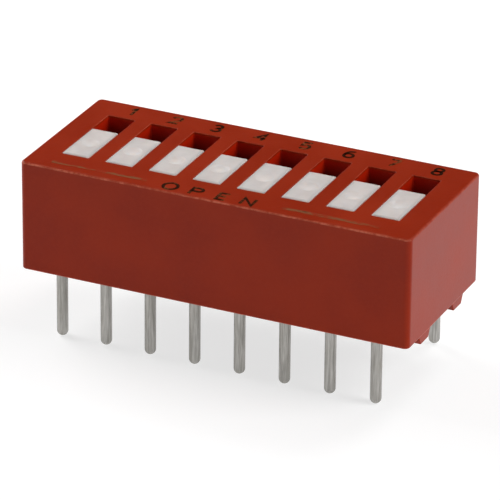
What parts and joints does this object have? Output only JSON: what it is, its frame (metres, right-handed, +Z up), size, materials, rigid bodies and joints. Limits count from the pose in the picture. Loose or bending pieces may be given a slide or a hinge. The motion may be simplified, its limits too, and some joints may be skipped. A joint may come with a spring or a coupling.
{
  "type": "dip switch",
  "caption": "Dual in-line package switch: low red case with a row of slots, white sliding actuators flush with the top, and two rows of round pins for a circuit board.",
  "frame": {"origin": "centre of the pin grid on the seating plane, which is the underside of the feet", "axes": "+X along the row of positions from 1 to 8, +Y from the OPEN side to the numbered side, +Z up through the case, away from the pins"},
  "size_m": [0.0218, 0.0092, 0.0098],
  "materials": {
    "case": "red moulded plastic, satin",
    "resin": "poured resin, dark",
    "actuator": "white moulded plastic, satin",
    "spring_steel": "drawn wire",
    "contact": "plated, bright",
    "pin": "tin plated, drawn wire"
  },
  "bodies": {
    "root": {"cover": "case", "base": "case", "seal": "resin", "terminal_front_1": "pin", "terminal_front_2": "pin", "terminal_front_3": "pin", "terminal_front_4": "pin", "terminal_front_5": "pin", "terminal_front_6": "pin", "terminal_front_7": "pin", "terminal_front_8": "pin", "terminal_back_1": "pin", "terminal_back_2": "pin", "terminal_back_3": "pin", "terminal_back_4": "pin", "terminal_back_5": "pin", "terminal_back_6": "pin", "terminal_back_7": "pin", "terminal_back_8": "pin"},
    "switch_1": {"slide_1": "actuator", "spring_1": "spring_steel", "ball_1": "contact"},
    "switch_2": {"slide_2": "actuator", "spring_2": "spring_steel", "ball_2": "contact"},
    "switch_3": {"slide_3": "actuator", "spring_3": "spring_steel", "ball_3": "contact"},
    "switch_4": {"slide_4": "actuator", "spring_4": "spring_steel", "ball_4": "contact"},
    "switch_5": {"slide_5": "actuator", "spring_5": "spring_steel", "ball_5": "contact"},
    "switch_6": {"slide_6": "actuator", "spring_6": "spring_steel", "ball_6": "contact"},
    "switch_7": {"slide_7": "actuator", "spring_7": "spring_steel", "ball_7": "contact"},
    "switch_8": {"slide_8": "actuator", "spring_8": "spring_steel", "ball_8": "contact"}
  },
  "joints": [
    {"name": "slide_1_travel", "type": "slide", "parent": "root", "child": "switch_1", "axis": [0, 1, 0], "range_m": [0, 0.00192]},
    {"name": "slide_2_travel", "type": "slide", "parent": "root", "child": "switch_2", "axis": [0, 1, 0], "range_m": [0, 0.00192]},
    {"name": "slide_3_travel", "type": "slide", "parent": "root", "child": "switch_3", "axis": [0, 1, 0], "range_m": [0, 0.00192]},
    {"name": "slide_4_travel", "type": "slide", "parent": "root", "child": "switch_4", "axis": [0, 1, 0], "range_m": [0, 0.00192]},
    {"name": "slide_5_travel", "type": "slide", "parent": "root", "child": "switch_5", "axis": [0, 1, 0], "range_m": [0, 0.00192]},
    {"name": "slide_6_travel", "type": "slide", "parent": "root", "child": "switch_6", "axis": [0, 1, 0], "range_m": [0, 0.00192]},
    {"name": "slide_7_travel", "type": "slide", "parent": "root", "child": "switch_7", "axis": [0, 1, 0], "range_m": [0, 0.00192]},
    {"name": "slide_8_travel", "type": "slide", "parent": "root", "child": "switch_8", "axis": [0, 1, 0], "range_m": [0, 0.00192]}
  ]
}
